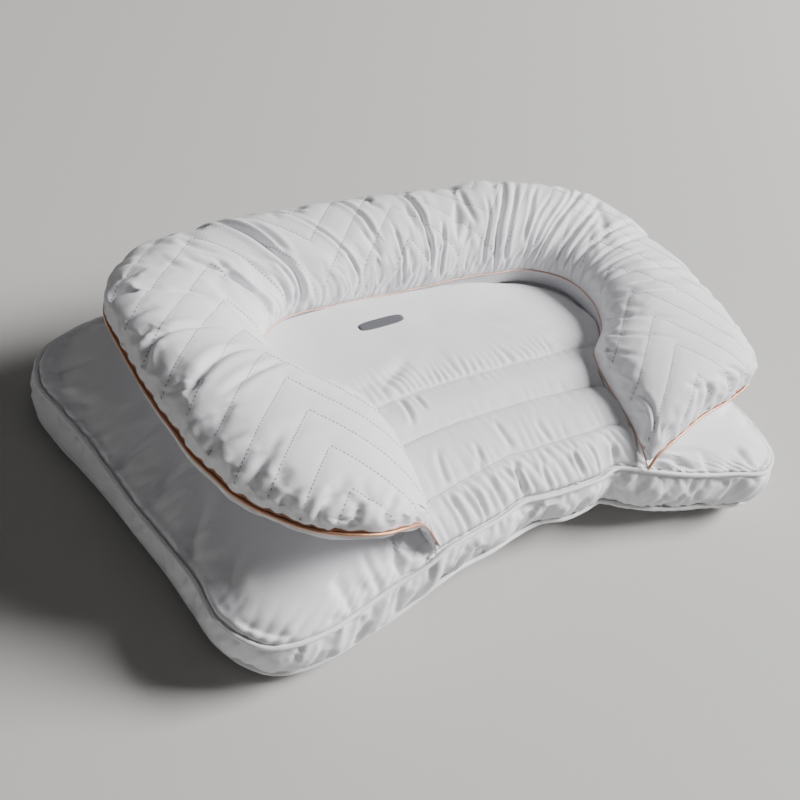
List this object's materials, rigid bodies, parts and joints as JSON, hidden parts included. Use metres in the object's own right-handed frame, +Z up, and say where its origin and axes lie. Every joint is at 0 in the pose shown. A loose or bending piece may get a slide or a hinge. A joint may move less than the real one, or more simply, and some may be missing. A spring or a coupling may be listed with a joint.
{
  "type": "buckwheat pillow",
  "caption": "Two-layer neck pillow: a boxed base cushion, a channelled neck and head panel, and a raised quilted horseshoe bolster that cradles the head.",
  "frame": {"origin": "middle of the base cushion's flat underside, on the surface that the pillow lies on", "axes": "+X to the right along the pillow's length, +Y to the back, away from the neck edge, +Z up"},
  "size_m": [0.7952, 0.4831, 0.2145],
  "materials": {
    "white_cotton": "white cotton sateen, softly wrinkled",
    "white_piping": "white cotton self piping",
    "panel_cotton": "smooth white cotton panel with sewn channels",
    "quilted_cotton": "white cotton quilted in a herringbone of fine stitched lines",
    "copper_piping": "copper coloured satin piping"
  },
  "bodies": {
    "root": {"base_pillow": "white_cotton", "base_piping_top": "white_piping", "base_piping_bottom": "white_piping", "centre_pad": "panel_cotton", "horseshoe": "quilted_cotton", "horseshoe_piping_outer": "copper_piping", "horseshoe_piping_inner": "copper_piping"}
  },
  "joints": []
}
